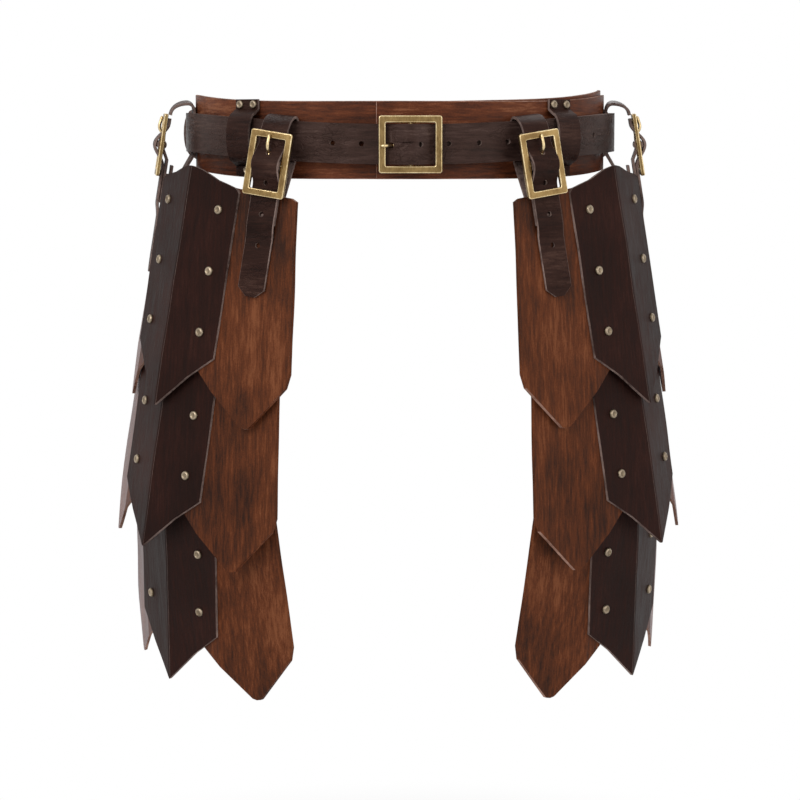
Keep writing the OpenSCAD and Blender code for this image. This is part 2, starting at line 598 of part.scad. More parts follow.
sided("right") ridge_plate(0);  // right_upper_ridge
sided("right") wing(0, 1);  // right_upper_front_wing
sided("right") wing(0, -1);  // right_upper_back_wing
sided("right") rivets(0);  // right_upper_rivets
sided("right") ridge_plate(1);  // right_middle_ridge
sided("right") wing(1, 1);  // right_middle_front_wing
sided("right") wing(1, -1);  // right_middle_back_wing
sided("right") rivets(1);  // right_middle_rivets
sided("right") ridge_plate(2);  // right_lower_ridge
sided("right") wing(2, 1);  // right_lower_front_wing
sided("right") wing(2, -1);  // right_lower_back_wing
sided("right") rivets(2);  // right_lower_rivets
sided("right") hangers(0);  // right_upper_hangers
sided("right") links(1);  // right_middle_links
sided("right") hangers(1);  // right_middle_hangers
sided("right") links(2);  // right_lower_links
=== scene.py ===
# %% [markdown]
# # Thigh armour in leather and brass
#
# This lesson dresses a finished frame of a pair of leather tassets, the plates that guard the thighs. The
# frame already has every piece at its size and place. What is left to do is make leather look like leather
# and brass like brass. Run the cells from top to bottom. Each one prints what it made or made ready.

# %% Load the frame
import json
import math

import bmesh
import bpy
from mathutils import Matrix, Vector, noise
from mathutils.bvhtree import BVHTree


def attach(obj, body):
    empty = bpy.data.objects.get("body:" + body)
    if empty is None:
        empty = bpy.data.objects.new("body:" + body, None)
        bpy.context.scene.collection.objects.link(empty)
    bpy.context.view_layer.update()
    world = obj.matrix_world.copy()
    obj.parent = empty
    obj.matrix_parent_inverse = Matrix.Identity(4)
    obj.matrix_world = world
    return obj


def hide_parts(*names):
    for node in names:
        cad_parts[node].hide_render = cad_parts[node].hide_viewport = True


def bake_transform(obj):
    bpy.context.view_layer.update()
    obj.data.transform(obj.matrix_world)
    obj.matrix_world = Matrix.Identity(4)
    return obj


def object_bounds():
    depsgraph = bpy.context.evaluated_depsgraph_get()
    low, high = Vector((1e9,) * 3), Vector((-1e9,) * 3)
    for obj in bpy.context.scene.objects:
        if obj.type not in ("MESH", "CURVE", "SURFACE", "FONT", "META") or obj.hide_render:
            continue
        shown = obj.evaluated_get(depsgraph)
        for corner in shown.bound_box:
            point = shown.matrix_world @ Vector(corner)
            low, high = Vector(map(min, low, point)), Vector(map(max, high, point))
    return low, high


MM = 0.001
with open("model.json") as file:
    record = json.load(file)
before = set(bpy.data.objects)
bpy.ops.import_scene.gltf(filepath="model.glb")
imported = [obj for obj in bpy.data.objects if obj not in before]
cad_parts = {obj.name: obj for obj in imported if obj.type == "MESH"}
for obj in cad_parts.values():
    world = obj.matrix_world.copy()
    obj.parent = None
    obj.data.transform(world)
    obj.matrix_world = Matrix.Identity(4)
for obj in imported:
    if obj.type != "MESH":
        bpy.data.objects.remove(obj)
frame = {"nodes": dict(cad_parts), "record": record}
cad_low, cad_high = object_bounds()

# %% [markdown]
# ## Where the camera stands
#
# The camera stands two and a half metres away with a long lens, at the height of the belt, and is tilted down
# a little. A long lens keeps the plates' edges nearly parallel. The picture is 800 pixels wide, so the lens
# length follows from how many pixels a millimetre takes up at that distance.

# %% Camera
SENSOR_MM = 36
IMAGE_PX = 800
FOCUS_PX = 2473
CAMERA_FAR = 2.5
CAMERA_YAW = math.radians(2.0)
CAMERA_PITCH = math.radians(6)


def make_camera():
    data = bpy.data.cameras.new("camera")
    data.sensor_width = SENSOR_MM
    data.lens = FOCUS_PX * SENSOR_MM / IMAGE_PX
    camera = bpy.data.objects.new("camera", data)
    camera.location = (-CAMERA_FAR * math.sin(CAMERA_YAW), -CAMERA_FAR * math.cos(CAMERA_YAW), 0)
    camera.rotation_euler = (math.pi / 2 - CAMERA_PITCH, 0, -CAMERA_YAW)
    bpy.context.scene.collection.objects.link(camera)
    bpy.context.scene.camera = camera
    return camera


camera = make_camera()
print("camera lens:", round(camera.data.lens, 1), "mm")

# %% [markdown]
# ## Light and floor
#
# Leather shows its grain best in soft light from one side, so the strongest lamp stands at the upper left and
# two weaker ones fill the shadows. The world turns white for rays from the camera, a mirror or glass alone,
# so the background is clean while the light on the armour stays plain. The floor keeps the shadow near the
# armour and fades to the same white further out, so no horizon line shows.

# %% Lamps and world
WHITE = (1, 1, 1, 1)
SKY_STRENGTH = 0.5
ARMOUR_MIDDLE = (0, 0, -0.25)


def lamp(name, place, size, watts, target=ARMOUR_MIDDLE):
    data = bpy.data.lights.new(name, "AREA")
    data.size = size
    data.energy = watts
    light = bpy.data.objects.new(name, data)
    light.location = place
    aim = Vector(target) - Vector(place)
    light.rotation_euler = aim.to_track_quat("-Z", "Y").to_euler()
    bpy.context.scene.collection.objects.link(light)


def node(tree, kind, **values):
    made = tree.nodes.new(kind)
    for name, value in values.items():
        setattr(made, name, value)
    return made


def set_inputs(target, values):
    """Sets the open inputs of a shader node by their names."""
    for name, value in values.items():
        target.inputs[name].default_value = value


def seen_directly(tree):
    """One for rays from the camera, a mirror or glass, and nought for the rays that carry light."""
    path = node(tree, "ShaderNodeLightPath")
    either = node(tree, "ShaderNodeMath", operation="MAXIMUM")
    tree.links.new(path.outputs["Is Camera Ray"], either.inputs[0])
    tree.links.new(path.outputs["Is Glossy Ray"], either.inputs[1])
    last = node(tree, "ShaderNodeMath", operation="MAXIMUM")
    tree.links.new(either.outputs[0], last.inputs[0])
    tree.links.new(path.outputs["Is Transmission Ray"], last.inputs[1])
    return last.outputs[0]


def make_world():
    world = bpy.data.worlds.new("studio")
    bpy.context.scene.world = world
    world.use_nodes = True
    tree = world.node_tree
    sky = tree.nodes["Background"]
    sky.inputs["Color"].default_value = WHITE
    sky.inputs["Strength"].default_value = SKY_STRENGTH
    white = node(tree, "ShaderNodeBackground")
    mix = node(tree, "ShaderNodeMixShader")
    white.inputs["Color"].default_value = WHITE
    tree.links.new(seen_directly(tree), mix.inputs[0])
    tree.links.new(sky.outputs[0], mix.inputs[1])
    tree.links.new(white.outputs[0], mix.inputs[2])
    tree.links.new(mix.outputs[0], tree.nodes["World Output"].inputs["Surface"])


lamp("key", (-1.6, -2.4, 1.5), 1.6, 46)
lamp("fill", (2.2, -2.2, 0.6), 1.8, 18)
lamp("back", (0.4, 2.2, 1.4), 1.8, 22)
make_world()
bpy.context.scene.view_settings.view_transform = "Standard"
print("lamps:", [light.name for light in bpy.data.lights])

# %% Floor
FLOOR_DROP = 0.30
FLOOR_REACH = 9
FLOOR_GREY = (0.9, 0.9, 0.9, 1)
FLOOR_ROUGHNESS = 0.8
FADE_START = 0.25
FADE_END = 0.75


def make_floor():
    mesh = bpy.data.meshes.new("floor")
    height = cad_low[2] - FLOOR_DROP
    square = ((-1, -1), (1, -1), (1, 1), (-1, 1))
    corners = [(x * FLOOR_REACH, y * FLOOR_REACH, height) for x, y in square]
    mesh.from_pydata(corners, [], [(0, 1, 2, 3)])
    floor = bpy.data.objects.new("floor", mesh)
    bpy.context.scene.collection.objects.link(floor)
    material = bpy.data.materials.new("pale_floor")
    material.use_nodes = True
    tree = material.node_tree
    shader = tree.nodes["Principled BSDF"]
    shader.inputs["Base Color"].default_value = FLOOR_GREY
    shader.inputs["Roughness"].default_value = FLOOR_ROUGHNESS
    coords = node(tree, "ShaderNodeTexCoord")
    apart = node(tree, "ShaderNodeVectorMath", operation="DISTANCE")
    apart.inputs[1].default_value = (0, 0, height)
    tree.links.new(coords.outputs["Object"], apart.inputs[0])
    fade = node(tree, "ShaderNodeMapRange", interpolation_type="SMOOTHSTEP")
    fade.inputs["From Min"].default_value = FADE_START
    fade.inputs["From Max"].default_value = FADE_END
    tree.links.new(apart.outputs["Value"], fade.inputs["Value"])
    share = node(tree, "ShaderNodeMath", operation="MULTIPLY")
    tree.links.new(fade.outputs[0], share.inputs[0])
    tree.links.new(seen_directly(tree), share.inputs[1])
    white = node(tree, "ShaderNodeEmission")
    mix = node(tree, "ShaderNodeMixShader")
    tree.links.new(share.outputs[0], mix.inputs[0])
    tree.links.new(shader.outputs[0], mix.inputs[1])
    tree.links.new(white.outputs[0], mix.inputs[2])
    tree.links.new(mix.outputs[0], tree.nodes["Material Output"].inputs["Surface"])
    mesh.materials.append(material)


make_floor()
print("floor at", round(cad_low[2] - FLOOR_DROP, 3), "m")

# %% [markdown]
# ## A finish for leather
#
# Oiled leather is never one colour. It has broad stains, long streaks that follow the way the hide was
# rubbed, and fine pores. Each is a noise texture at its own scale, and a streak is noise that is squeezed
# less along one direction. The colours come from one ramp, so the stains stay in the leather's own range.

# %% Texture helpers


def noise_layer(tree, coords, scale, stretch=(1, 1, 1), detail=4, roughness=0.55):
    mapping = node(tree, "ShaderNodeMapping")
    mapping.inputs["Scale"].default_value = stretch
    tree.links.new(coords, mapping.inputs["Vector"])
    layer = node(tree, "ShaderNodeTexNoise")
    set_inputs(layer, {"Scale": scale, "Detail": detail, "Roughness": roughness})
    tree.links.new(mapping.outputs[0], layer.inputs["Vector"])
    return layer.outputs["Fac"]


def mix_values(tree, a, b, share):
    blend = node(tree, "ShaderNodeMix", data_type="FLOAT")
    blend.inputs[0].default_value = share
    tree.links.new(a, blend.inputs[2])
    tree.links.new(b, blend.inputs[3])
    return blend.outputs[0]


def spread(tree, value, from_low, from_high, to_low, to_high):
    """Stretches one span of values over another and stops at its ends."""
    made = node(tree, "ShaderNodeMapRange")
    set_inputs(made, {"From Min": from_low, "From Max": from_high, "To Min": to_low, "To Max": to_high})
    tree.links.new(value, made.inputs["Value"])
    return made.outputs[0]


def ramp(tree, value, stops):
    made = node(tree, "ShaderNodeValToRGB")
    tree.links.new(value, made.inputs[0])
    band = made.color_ramp
    while len(band.elements) < len(stops):
        band.elements.new(0.5)
    for element, (place, colour) in zip(band.elements, stops):
        element.position = place
        element.color = (*colour, 1)
    return made.outputs["Color"]


def srgb(code):
    """A colour written as in a paint chart, such as #6b3518, in the numbers a shader uses."""
    parts = [int(code[i : i + 2], 16) / 255 for i in (1, 3, 5)]
    return tuple(p / 12.92 if p < 0.04045 else ((p + 0.055) / 1.055) ** 2.4 for p in parts)


def bump(tree, height, distance, strength, after=None):
    made = node(tree, "ShaderNodeBump")
    set_inputs(made, {"Distance": distance, "Strength": strength})
    tree.links.new(height, made.inputs["Height"])
    if after is not None:
        tree.links.new(after, made.inputs["Normal"])
    return made.outputs["Normal"]


def new_material(name):
    material = bpy.data.materials.new(name)
    material.use_nodes = True
    tree = material.node_tree
    return material, tree, tree.nodes["Principled BSDF"], node(tree, "ShaderNodeTexCoord").outputs["Object"]


print("texture helpers ready")

# %% Creases of worn leather
CREASE_SLANT = math.radians(38)
CREASE_STRETCH = (0.3, 1, 1)
CREASE_SCALE = 330
CRACK_WIDTH = 0.09
PATCH_SCALE = 30
PATCH_SPAN = (0.47, 0.6)
WARP_SCALE = 45
WARP_SHARE = 0.02


def creases(tree, coords):
    """Fine slanting cracks that come in patches, where a strap was bent again and again."""
    warp = node(tree, "ShaderNodeTexNoise")
    warp.inputs["Scale"].default_value = WARP_SCALE
    tree.links.new(coords, warp.inputs["Vector"])
    moved = node(tree, "ShaderNodeMix", data_type="VECTOR")
    moved.inputs[0].default_value = WARP_SHARE
    tree.links.new(coords, moved.inputs[4])
    tree.links.new(warp.outputs["Color"], moved.inputs[5])
    slant = node(tree, "ShaderNodeMapping")
    set_inputs(slant, {"Rotation": (0, CREASE_SLANT, 0), "Scale": CREASE_STRETCH})
    tree.links.new(moved.outputs[1], slant.inputs["Vector"])
    cells = node(tree, "ShaderNodeTexVoronoi", feature="DISTANCE_TO_EDGE")
    cells.inputs["Scale"].default_value = CREASE_SCALE
    tree.links.new(slant.outputs[0], cells.inputs["Vector"])
    crack = spread(tree, cells.outputs["Distance"], 0, CRACK_WIDTH, 0, 1)
    patch = spread(tree, noise_layer(tree, coords, PATCH_SCALE, detail=2), *PATCH_SPAN, 0, 1)
    kept = node(tree, "ShaderNodeMix", data_type="FLOAT")
    kept.inputs[2].default_value = 1
    tree.links.new(patch, kept.inputs[0])
    tree.links.new(crack, kept.inputs[3])
    return kept.outputs[0]


print("creases ready")

# %% Leather material
STAIN_SCALE = 11
BROAD_SCALE = 75
FINE_SCALE = 380
PORE_SCALE = 800
FINE_SHARE = 0.62
STREAK_SHARE = 0.68
STREAK_SPAN = (0.35, 0.65)
PORE_SHARE = 0.12
RAMP_START = 0.4
RAMP_LENGTH = 0.2
PORE_BUMP = (0.0004, 0.4)
STREAK_BUMP = (0.0009, 0.4)
CREASE_BUMP = (0.0014, 0.5)
NAP_ROUGHNESS = 0.35
WARM = (1, 0.72, 0.62, 1)
MAUVE = (0.56, 0.5, 0.52, 1)


def leather(name, colours, grain, rough, gloss, creased=False, nap=0.0):
    """Leather with stains, streaks along the grain, pores and, on straps, creases. Nap is a soft sheen."""
    material, tree, shader, coords = new_material(name)
    stains = noise_layer(tree, coords, STAIN_SCALE, detail=3)
    broad = noise_layer(tree, coords, BROAD_SCALE, grain, detail=5, roughness=0.6)
    fine = noise_layer(tree, coords, FINE_SCALE, grain, detail=5, roughness=0.7)
    pores = noise_layer(tree, coords, PORE_SCALE, detail=3, roughness=0.7)
    streaks = mix_values(tree, broad, fine, FINE_SHARE)
    tone = mix_values(tree, stains, streaks, STREAK_SHARE)
    tone = mix_values(tree, tone, pores, PORE_SHARE)
    last = len(colours) - 1
    stops = [(RAMP_START + RAMP_LENGTH * i / last, srgb(colour)) for i, colour in enumerate(colours)]
    tree.links.new(ramp(tree, tone, stops), shader.inputs["Base Color"])
    tree.links.new(spread(tree, streaks, *STREAK_SPAN, *rough), shader.inputs["Roughness"])
    normal = bump(tree, pores, *PORE_BUMP)
    normal = bump(tree, streaks, *STREAK_BUMP, after=normal)
    if creased:
        normal = bump(tree, creases(tree, coords), *CREASE_BUMP, after=normal)
    tree.links.new(normal, shader.inputs["Normal"])
    set_inputs(shader, {"Specular IOR Level": gloss, "Specular Tint": WARM, "Sheen Weight": nap,
                        "Sheen Roughness": NAP_ROUGHNESS, "Sheen Tint": MAUVE})
    return material


UPRIGHT = (1, 1, 0.09)
ALONG = (0.12, 0.12, 1)
BROWNS = ["#26120a", "#432110", "#5b2e17", "#77452a"]
BAND_BROWNS = ["#2a130c", "#4a2414", "#63331d", "#875439"]
DARKS = ["#180b09", "#1f0f0c", "#27130f", "#321b16"]
BELT_DARKS = ["#1a0f0d", "#2b1c18", "#382824", "#52413b"]
STRAP_DARKS = ["#150a08", "#24130f", "#2f1d18", "#46312a"]
plate_leather = leather("plate_leather", BROWNS, UPRIGHT, (0.42, 0.62), 0.18)
back_leather = leather("back_leather", BROWNS, UPRIGHT, (0.42, 0.62), 0.3, nap=0.6)
band_leather = leather("band_leather", BAND_BROWNS, ALONG, (0.36, 0.56), 0.2)
dark_leather = leather("dark_leather", DARKS, UPRIGHT, (0.42, 0.62), 0.1)
belt_leather = leather("belt_leather", BELT_DARKS, ALONG, (0.34, 0.52), 0.22, creased=True)
strap_leather = leather("strap_leather", STRAP_DARKS, ALONG, (0.4, 0.6), 0.13, creased=True)
print("leathers:", [m.name for m in bpy.data.materials if m.name.endswith("leather")])

# %% [markdown]
# ## Cut edges
#
# Where a hide is cut, the raw fibres show. They are paler than the dyed face and catch the light as a thin
# line round every plate. A second material on the narrow faces does this better than paint on the face would.
# The fold of a ridge is rubbed too, so it gets a third material, paler and greyer than the face.

# %% Cut edge material
FIBRE_SCALE = 260
WEAR_SCALE = 28
FIBRE_SHARE = 0.4
EDGE_RAMP = (0.36, 0.62)
EDGE_ROUGHNESS = 0.8
EDGE_GLOSS = 0.2
FIBRE_BUMP = (0.0006, 0.6)


def raw_edge(name, dark, pale):
    material, tree, shader, coords = new_material(name)
    fibres = noise_layer(tree, coords, FIBRE_SCALE, detail=5, roughness=0.7)
    wear = noise_layer(tree, coords, WEAR_SCALE, detail=3)
    tone = mix_values(tree, wear, fibres, FIBRE_SHARE)
    stops = list(zip(EDGE_RAMP, (srgb(dark), srgb(pale))))
    tree.links.new(ramp(tree, tone, stops), shader.inputs["Base Color"])
    set_inputs(shader, {"Roughness": EDGE_ROUGHNESS, "Specular IOR Level": EDGE_GLOSS})
    tree.links.new(bump(tree, fibres, *FIBRE_BUMP), shader.inputs["Normal"])
    return material


brown_edge = raw_edge("brown_edge", "#5a3626", "#a88474")
dark_edge = raw_edge("dark_edge", "#3a2a26", "#8f7a72")
rubbed_fold = raw_edge("rubbed_fold", "#5a4a44", "#8d7b73")
print("edges ready")

# %% [markdown]
# ## Brass
#
# The buckles and rivets are antique brass: brown where the finish is whole, and bright where hands and
# leather rub. A buckle's edges are rounded faces of their own, so they simply take a brighter brass. The
# rivets' paler rims are a painted highlight.

# %% Brass material
CLOUD_SCALE = 60
BRUSH_SCALE = 1400
BRUSH_GRAIN = (1, 1, 0.2)
BRUSH_SHARE = 0.45
BRUSH_SPAN = (0.3, 0.7)
BRASS_RAMP = (0.38, 0.62)
ROUGH_SPAN = 0.16
BRUSH_BUMP = (0.0003, 0.25)


def brass(name, dark, light, rough):
    material, tree, shader, coords = new_material(name)
    shader.inputs["Metallic"].default_value = 1
    cloud = noise_layer(tree, coords, CLOUD_SCALE, detail=3)
    brushed = noise_layer(tree, coords, BRUSH_SCALE, BRUSH_GRAIN, detail=3)
    tone = mix_values(tree, cloud, brushed, BRUSH_SHARE)
    stops = list(zip(BRASS_RAMP, (srgb(dark), srgb(light))))
    tree.links.new(ramp(tree, tone, stops), shader.inputs["Base Color"])
    roughness = spread(tree, brushed, *BRUSH_SPAN, rough, rough + ROUGH_SPAN)
    tree.links.new(roughness, shader.inputs["Roughness"])
    tree.links.new(bump(tree, brushed, *BRUSH_BUMP), shader.inputs["Normal"])
    return material


buckle_brass = brass("buckle_brass", "#6a5434", "#947b50", 0.34)
bright_brass = brass("bright_brass", "#b89d6e", "#ecd8ac", 0.22)
rivet_brass = brass("rivet_brass", "#6f6150", "#8f806a", 0.4)
# The rivets' rims take this paler brass as a painted highlight.
rivet_rim_highlight = brass("rivet_rim_highlight", "#857766", "#b0a08a", 0.36)
print("brass ready")

# %% [markdown]
# ## From frame to leather
#
# The frame's pieces are true in size but sharp and flat. Real leather has softened edges, a rounded fold and
# a slight wave from drying and wear. These helpers copy a piece's mesh, tell its broad faces from its cut
# edges, round its edges, cut its faces into a fine net and move the net a little with smooth noise.

# %% Copy a piece and join its facets
THIN = 5.2 * MM
CUT = 1
FOLD = 2
NET = 6 * MM
SAME_POINT = 0.005 * MM
SAME_PLANE = math.radians(1.2)
RAY_INSET = 0.05 * MM
ROUND_STEPS = 2


def clean_copy(*names):
    """A bmesh of some frame pieces with doubled corners joined and flat faces whole."""
    mesh = bmesh.new()
    for name in names:
        mesh.from_mesh(frame["nodes"][name].data)
    bmesh.ops.remove_doubles(mesh, verts=mesh.verts, dist=SAME_POINT)
    bmesh.ops.dissolve_limit(mesh, angle_limit=SAME_PLANE, verts=mesh.verts, edges=mesh.edges)
    bmesh.ops.recalc_face_normals(mesh, faces=mesh.faces)
    return mesh


def mark_cut_edges(mesh):
    """A ray shot inward from a broad face leaves the leather at once. From a cut edge it runs far."""
    solid = mesh.copy()
    bmesh.ops.triangulate(solid, faces=solid.faces)
    tree = BVHTree.FromBMesh(solid)
    votes = {face: 0 for face in mesh.faces}
    for corners in mesh.calc_loop_triangles():
        a, b, c = (corner.vert.co for corner in corners)
        face = corners[0].face
        start = (a + b + c) / 3 - face.normal * RAY_INSET
        deep = tree.ray_cast(start, -face.normal)[3]
        area = (b - a).cross(c - a).length
        votes[face] += area if deep is not None and deep < THIN else -area
    for face, vote in votes.items():
        face.material_index = 0 if vote > 0 else CUT
    solid.free()


def sharp_edges(mesh, low, high):
    """Edges where the surface turns by an angle between two limits, in degrees."""
    found = []
    for edge in mesh.edges:
        if len(edge.link_faces) == 2 and low < math.degrees(edge.calc_face_angle(0)) <= high:
            found.append(edge)
    return found


def bevel(mesh, edges, width, steps, material, clamp=True, slide=False):
    """Rounds edges and gives the new faces a material."""
    bmesh.ops.bevel(mesh, geom=edges, offset=width, offset_type="OFFSET", segments=steps, profile=0.5,
                    affect="EDGES", clamp_overlap=clamp, loop_slide=slide, material=material)


def round_edges(mesh, turns, width, material=CUT):
    """Rounds the edges whose turn lies between two angles."""
    bevel(mesh, sharp_edges(mesh, *turns), width, ROUND_STEPS, material, slide=True)


print("copying helpers ready")

# %% Cut a net and move it
CUT_WITHIN = 0.02 * MM
SEED_STEPS = (3.7, 1.3, 2.1)


def cut_net(mesh, directions, spacing=NET):
    """Slices every face by evenly spaced planes that stand across each direction."""
    for direction in directions:
        normal = Vector(direction).normalized()
        reach = [vert.co.dot(normal) for vert in mesh.verts]
        place = min(reach) + spacing
        while place < max(reach) - spacing / 3:
            geom = mesh.verts[:] + mesh.edges[:] + mesh.faces[:]
            bmesh.ops.bisect_plane(mesh, geom=geom, plane_co=normal * place, plane_no=normal, dist=CUT_WITHIN)
            place += spacing


def wave(mesh, depth, size, seed, along):
    """Moves the net in and out along one direction by smooth noise."""
    shift = Vector([seed * step for step in SEED_STEPS])
    for vert in mesh.verts:
        vert.co += Vector(along) * depth * noise.noise(vert.co / size + shift)


def finish_piece(mesh, name, body, nodes, materials, smooth_below=38):
    """Turns a bmesh into a shaded object that rides on a body and stands for frame nodes."""
    bmesh.ops.triangulate(mesh, faces=[face for face in mesh.faces if len(face.verts) > 4])
    for edge in mesh.edges:
        flat = len(edge.link_faces) == 2 and math.degrees(edge.calc_face_angle(0)) < smooth_below
        edge.smooth = flat
    for face in mesh.faces:
        face.smooth = True
    data = bpy.data.meshes.new(name)
    mesh.to_mesh(data)
    mesh.free()
    piece = bpy.data.objects.new(name, data)
    bpy.context.scene.collection.objects.link(piece)
    for material in materials:
        data.materials.append(material)
    even = piece.modifiers.new("even_normals", "WEIGHTED_NORMAL")
    even.keep_sharp = True
    if body is not None:
        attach(piece, body)
    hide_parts(*nodes)
    return piece


def finish_strap(mesh, name, body, nodes):
    """Finishes a piece of strap leather with dark cut edges."""
    return finish_piece(mesh, name, body, nodes, (strap_leather, dark_edge), smooth_below=45)


body_of_node = {n: b for b, members in frame["record"]["behaviour"]["bodies"].items() for n in members}
print("net helpers ready")

# %% [markdown]
# ## Plates
#
# Each tier has a ridge plate and two wings. The fold of a ridge plate is rounded more than its edges, because
# thick hide can't turn a sharp corner, and every outline gets a small rounding where it was burnished. Only
# the side of the fold that faces forward is rubbed pale.

# %% Dress the plates
RIDGE_ROUND = 1.2 * MM
RIDGE_FACING = 51
RIDGE_TURNS = (5, 40)
EDGE_ROUND = 0.7 * MM
EDGE_TURNS = (55, 125)
# Left and right are the picture's. The wearer faces the camera, so their right thigh is on the left.
SIDE_TURN = {"left": -1, "right": 1}
FACE_X = 0.766
FACE_Y = 0.643
WAVE_DEPTH = 0.9 * MM
WAVE_SIZE = 55 * MM


def dress_plate(name, materials, seed):
    side = SIDE_TURN[name.split("_")[0]]
    mesh = clean_copy(name)
    mark_cut_edges(mesh)
    round_edges(mesh, RIDGE_TURNS, RIDGE_ROUND, FOLD)
    for face in mesh.faces:
        turn = math.degrees(math.atan2(abs(face.normal.x), -face.normal.y))
        if face.material_index == FOLD and turn > RIDGE_FACING:
            face.material_index = 0
    round_edges(mesh, EDGE_TURNS, EDGE_ROUND)
    cut_net(mesh, ((0, 0, 1), (FACE_Y, FACE_X * side, 0)))
    wave(mesh, WAVE_DEPTH, WAVE_SIZE, seed, (FACE_X * side, -FACE_Y, 0))
    return finish_piece(mesh, name + "_leather", body_of_node[name], (name,), materials)


plates = []
for seed, name in enumerate(sorted(frame["nodes"])):
    if name.endswith("_wing"):
        hide = back_leather if name.endswith("_back_wing") else plate_leather
        plates.append(dress_plate(name, (hide, brown_edge, hide), seed))
    elif name.endswith("_ridge"):
        plates.append(dress_plate(name, (dark_leather, dark_edge, rubbed_fold), seed))
print("plates:", len(plates), "faces:", sum(len(p.data.polygons) for p in plates))

# %% [markdown]
# ## Straps that bend
#
# A hanging strap is one long piece. It rises behind the belt, turns over its top, comes down through the
# buckle and hangs as a tail. The frame splits it where it bends. Here the loop and the front run are laid
# anew as smooth ribbons from the frame's own ends, and the back run reaches up to the loop, so that no gap
# is left.

# %% Bridge two split ends
THIN_WITHIN = 0.3 * MM
WIDE_WITHIN = 0.6 * MM


def loose_parts(mesh):
    """Lists the separate solids of a bmesh, each as a set of faces."""
    left = set(mesh.faces)
    parts = []
    while left:
        todo = [left.pop()]
        part = set(todo)
        while todo:
            for edge in todo.pop().edges:
                for face in edge.link_faces:
                    if face in left:
                        left.remove(face)
                        part.add(face)
                        todo.append(face)
        parts.append(part)
    return parts


def end_faces(part, wide, thin):
    """The cut ends of a strap: flat rectangles that are as wide as the strap and as thin."""
    found = []
    for face in part:
        sides = sorted(edge.calc_length() for edge in face.edges)
        if len(sides) == 4 and abs(sides[0] - thin) < THIN_WITHIN and abs(sides[-1] - wide) < WIDE_WITHIN:
            found.append(face)
    return found


def skin(mesh, rings, closed=False):
    """Spans each ring of corners and the next with four-sided faces, and lists them."""
    faces = []
    for near, far in zip(rings, rings[1:] + (rings[:1] if closed else [])):
        for k in range(len(near)):
            beside = (k + 1) % len(near)
            faces.append(mesh.faces.new((near[k], near[beside], far[beside], far[k])))
    return faces


def bridge_ends(mesh, face_a, face_b, steps):
    """Takes two end faces away and spans the gap between them with a sleeve in several steps."""
    corners_a = [vert.co.copy() for vert in face_a.verts]
    corners_b = [vert.co.copy() for vert in face_b.verts]
    verts_a = list(face_a.verts)
    verts_b = list(face_b.verts)
    turns = [[(first + way * k) % 4 for k in range(4)] for first in range(4) for way in (1, -1)]
    order = min(turns, key=lambda turn: sum((corners_b[k] - corners_a[i]).length for i, k in enumerate(turn)))
    bmesh.ops.delete(mesh, geom=[face_a, face_b], context="FACES_ONLY")
    rings = [verts_a]
    for step in range(1, steps):
        share = step / steps
        ring = []
        for k in range(4):
            ring.append(mesh.verts.new(corners_a[k].lerp(corners_b[order[k]], share)))
        rings.append(ring)
    rings.append([verts_b[k] for k in order])
    skin(mesh, rings)
    bmesh.ops.recalc_face_normals(mesh, faces=mesh.faces)


print("bridging helpers ready")

# %% A ribbon along a smooth path
STRAP_W = 28 * MM
STRAP_T = 2.8 * MM
STRAP_ROUND = 0.6 * MM
UP = Vector((0, 0, 1))
FLAT = Vector((1, 1, 0))


def ribbon(stations, widths=None):
    """A strap with softened edges through stations, each a middle, a direction across and a direction out."""
    mesh = bmesh.new()
    rings = []
    thick = STRAP_T / 2
    deep = thick - STRAP_ROUND
    for (middle, across, out), width in zip(stations, widths or [STRAP_W] * len(stations)):
        wide = width / 2
        flat = wide - STRAP_ROUND
        ring = []
        for x, y in ((-wide, -deep), (-wide, deep), (-flat, thick), (flat, thick),
                     (wide, deep), (wide, -deep), (flat, -thick), (-flat, -thick)):
            ring.append(mesh.verts.new(middle + across * x + out * y))
        rings.append(ring)
    for i, face in enumerate(skin(mesh, rings)):
        face.material_index = 0 if i % 8 in (2, 6) else CUT
    for ring in (rings[0], rings[-1]):
        mesh.faces.new(ring).material_index = CUT
    bmesh.ops.recalc_face_normals(mesh, faces=mesh.faces)
    return mesh


def ease(share):
    """A step from nought to one with soft ends."""
    return share * share * (3 - 2 * share)


def toward(vector, guide):
    """A vector or its opposite, whichever points the guide's way."""
    return -vector if vector.dot(guide) < 0 else vector


def ahead_at(places, i):
    """The way along a row of places at one of them."""
    return places[min(i + 1, len(places) - 1)] - places[max(i - 1, 0)]


def height_of(face):
    return face.calc_center_median().z


def bezier(start, pull_a, pull_b, end, share):
    rest = 1 - share
    return start * rest**3 + pull_a * 3 * rest**2 * share + pull_b * 3 * rest * share**2 + end * share**3


def end_frame(face, like=None):
    """Middle, direction across and direction out of a strap's end face."""
    middle = face.calc_center_median()
    edges = sorted(face.edges, key=lambda edge: edge.calc_length())
    out = (edges[0].verts[1].co - edges[0].verts[0].co).normalized()
    across = (edges[-1].verts[1].co - edges[-1].verts[0].co).normalized()
    return middle, toward(across, like or Vector((1, 0.1, 0))), toward(out, middle * FLAT)


print("ribbon helpers ready")

# %% [markdown]
# ## Punched holes
#
# A punch leaves a round hole with a softly pressed rim. A boolean cuts the holes. Then their walls are found
# by where they lie, marked as cut leather and rounded along the rims. A hole is given by its middle, its
# axis, a direction along, its radius, and half the length by which it is drawn out into a slot.

# %% Punch holes
HOLE_R = 2.5 * MM
HOLE_SIDES = 24
RIM = 0.45 * MM
WALL_DEPTH = 6 * MM
STEEP = 0.5


